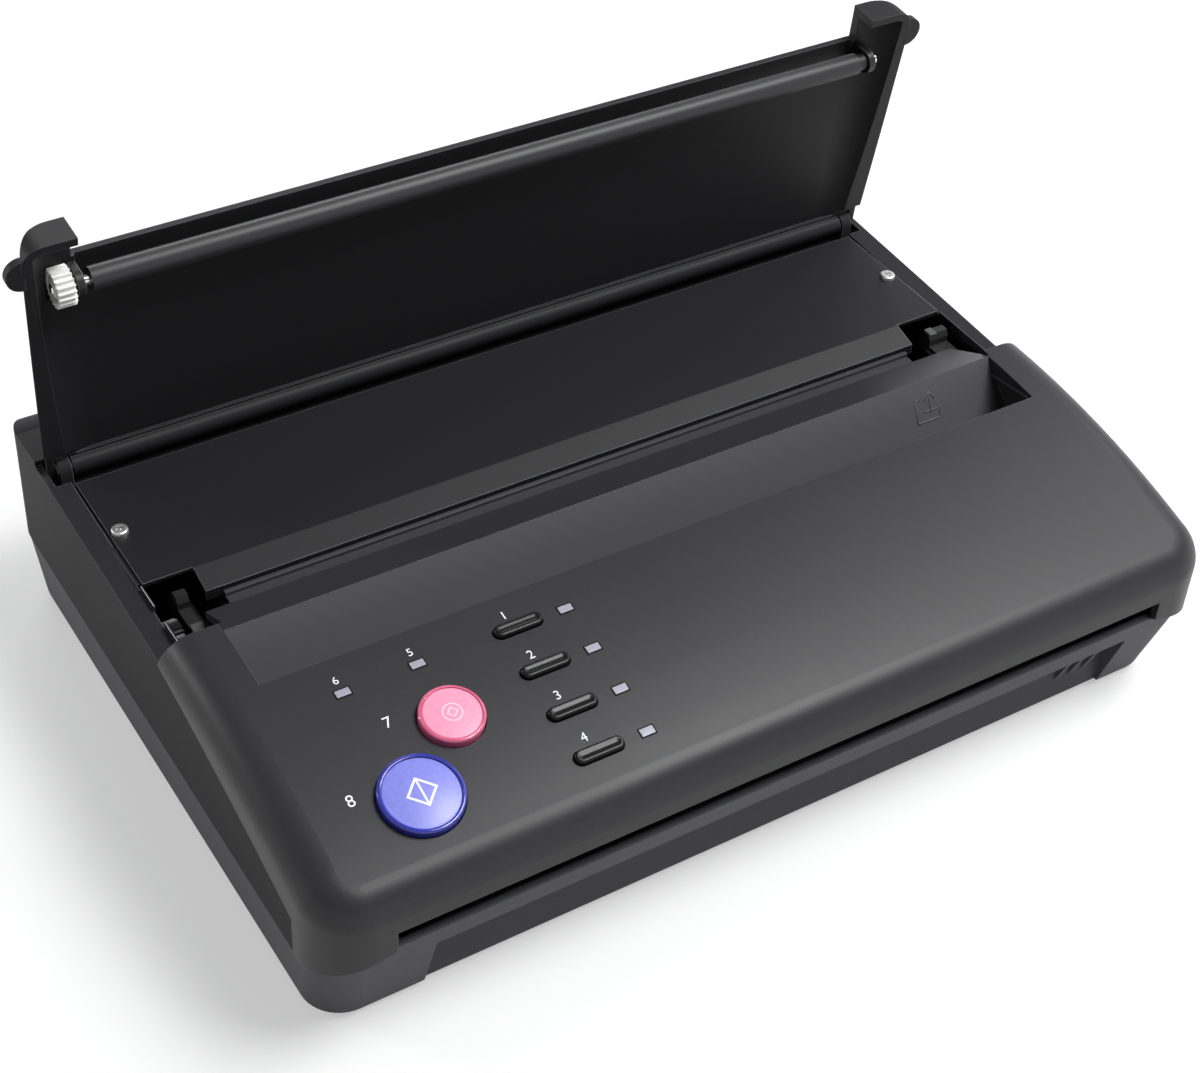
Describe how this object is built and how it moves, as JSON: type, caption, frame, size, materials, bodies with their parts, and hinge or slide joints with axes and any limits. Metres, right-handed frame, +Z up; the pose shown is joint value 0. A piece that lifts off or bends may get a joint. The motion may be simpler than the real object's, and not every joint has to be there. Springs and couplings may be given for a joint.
{
  "type": "thermal stencil copier",
  "caption": "Desktop copier: a hinged lid with a rubber platen closes on a thermal head, and a document chute feeds originals past an image sensor.",
  "frame": {"origin": "centre of the whole object's footprint, on the surface that the rubber feet stand on", "axes": "+X along the width to the viewer's right from the front, +Y to the back, +Z up"},
  "size_m": [0.288, 0.2094, 0.1412],
  "materials": {
    "cover_plastic": "fine spark-eroded texture",
    "housing_plastic": "fine spark-eroded texture",
    "lid_plastic": "satin",
    "inner_plastic": "moulded, plain",
    "black_sheet": "black powder coat",
    "steel": "zinc plated",
    "bright_steel": "ground",
    "aluminium": "extruded",
    "ceramic": "glazed ceramic",
    "rubber": "ground rubber",
    "white_acetal": "moulded acetal",
    "blue_button": "tinted, polished",
    "blue_face": "satin",
    "pink_button": "tinted, polished",
    "pink_face": "satin",
    "black_button": "satin",
    "light_pipe": "clear, frosted",
    "circuit_board": "solder mask",
    "component_black": "moulded",
    "clear_glass": "polished"
  },
  "bodies": {
    "housing": {"base_tray": "housing_plastic", "rubber_feet": "rubber", "tray_screws": "steel", "upper_housing": "housing_plastic", "front_cover": "cover_plastic", "inner_plate": "black_sheet", "deck_screws": "bright_steel", "cross_channel": "steel", "head_springs": "steel", "side_plate_left": "steel", "side_plate_right": "steel", "gear_plate": "steel", "gear_axles": "bright_steel", "bearing_block_left": "inner_plastic", "bearing_block_right": "inner_plastic", "motor": "steel", "feed_bushes": "white_acetal", "sensor_bar": "inner_plastic", "sensor_glass": "clear_glass", "paper_guide": "inner_plastic", "light_windows": "light_pipe", "key_board": "circuit_board", "key_switches": "component_black", "main_board": "circuit_board", "main_board_parts": "component_black", "power_board": "circuit_board", "power_board_parts": "component_black", "board_standoffs": "steel", "power_inlet": "inner_plastic", "switch_frame": "inner_plastic"},
    "head": {"head_heat_sink": "aluminium", "head_strip": "ceramic"},
    "lid": {"lid_shell": "lid_plastic", "hinge_pins": "bright_steel", "platen_brackets": "inner_plastic"},
    "platen": {"platen_shaft": "bright_steel", "platen_rubber": "rubber", "platen_bush": "white_acetal", "platen_gear": "white_acetal"},
    "feed_roller": {"feed_shaft": "bright_steel", "feed_rubber": "rubber", "feed_gear": "white_acetal"},
    "motor_rotor": {"motor_shaft": "bright_steel", "motor_pinion": "bright_steel"},
    "idler": {"idler_gear": "white_acetal"},
    "transfer": {"transfer_gear": "white_acetal"},
    "platen_drive": {"drive_gear": "white_acetal"},
    "copy_key": {"copy_button": "blue_button", "copy_button_face": "blue_face"},
    "stop_key": {"stop_button": "pink_button", "stop_button_face": "pink_face"},
    "mode_key_1": {"mode_button_1": "black_button"},
    "mode_key_2": {"mode_button_2": "black_button"},
    "mode_key_3": {"mode_button_3": "black_button"},
    "mode_key_4": {"mode_button_4": "black_button"},
    "power_rocker": {"switch_rocker": "black_button"}
  },
  "joints": [
    {"name": "lid_hinge", "type": "hinge", "parent": "housing", "child": "lid", "pos_m": [0, 0.0706, 0.0605], "axis": [1, 0, 0], "range_deg": [-8, 84.5]},
    {"name": "platen_spin", "type": "hinge", "parent": "lid", "child": "platen", "pos_m": [0, 0.06144, 0.12532], "axis": [1, 0, 0], "continuous": true},
    {"name": "head_press", "type": "slide", "parent": "housing", "child": "head", "axis": [0, 0, -1], "range_m": [0, 0.0008], "stiffness_N_per_m": 2000, "springref_m": -0.001, "deforming": ["head_springs"]},
    {"name": "feed_roller_spin", "type": "hinge", "parent": "housing", "child": "feed_roller", "pos_m": [0, -0.05, 0.028], "axis": [1, 0, 0], "continuous": true},
    {"name": "motor_spin", "type": "hinge", "parent": "housing", "child": "motor_rotor", "pos_m": [0, 0.02, 0.0245], "axis": [1, 0, 0], "continuous": true},
    {"name": "idler_spin", "type": "hinge", "parent": "housing", "child": "idler", "pos_m": [0, 0.0071, 0.03031], "axis": [1, 0, 0], "continuous": true},
    {"name": "transfer_spin", "type": "hinge", "parent": "housing", "child": "transfer", "pos_m": [0, -0.0202, 0.02343], "axis": [1, 0, 0], "continuous": true},
    {"name": "platen_drive_spin", "type": "hinge", "parent": "housing", "child": "platen_drive", "pos_m": [0, 0.0052, 0.04635], "axis": [1, 0, 0], "continuous": true},
    {"name": "copy_press", "type": "slide", "parent": "housing", "child": "copy_key", "axis": [0, 0.259, -0.9659], "range_m": [0, 0.0006], "stiffness_N_per_m": 600, "springref_m": -0.0006},
    {"name": "stop_press", "type": "slide", "parent": "housing", "child": "stop_key", "axis": [0, 0.2, -0.9798], "range_m": [0, 0.0006], "stiffness_N_per_m": 500, "springref_m": -0.0006},
    {"name": "mode_1_press", "type": "slide", "parent": "housing", "child": "mode_key_1", "axis": [0, 0.1363, -0.9907], "range_m": [0, 0.0006], "stiffness_N_per_m": 400, "springref_m": -0.0006},
    {"name": "mode_2_press", "type": "slide", "parent": "housing", "child": "mode_key_2", "axis": [0, 0.1867, -0.9824], "range_m": [0, 0.0006], "stiffness_N_per_m": 400, "springref_m": -0.0006},
    {"name": "mode_3_press", "type": "slide", "parent": "housing", "child": "mode_key_3", "axis": [0, 0.2353, -0.9719], "range_m": [0, 0.0006], "stiffness_N_per_m": 400, "springref_m": -0.0006},
    {"name": "mode_4_press", "type": "slide", "parent": "housing", "child": "mode_key_4", "axis": [0, 0.2824, -0.9593], "range_m": [0, 0.0006], "stiffness_N_per_m": 400, "springref_m": -0.0006},
    {"name": "power_rock", "type": "hinge", "parent": "housing", "child": "power_rocker", "pos_m": [0.062, 0.10259, 0.038], "axis": [1, 0, 0], "range_deg": [-16, 0]}
  ],
  "couplings": [
    {"joint": "transfer_spin", "follows": "feed_roller_spin", "ratio": -0.66667},
    {"joint": "idler_spin", "follows": "feed_roller_spin", "ratio": 1.2},
    {"joint": "motor_spin", "follows": "feed_roller_spin", "ratio": -3},
    {"joint": "platen_drive_spin", "follows": "feed_roller_spin", "ratio": -2}
  ]
}
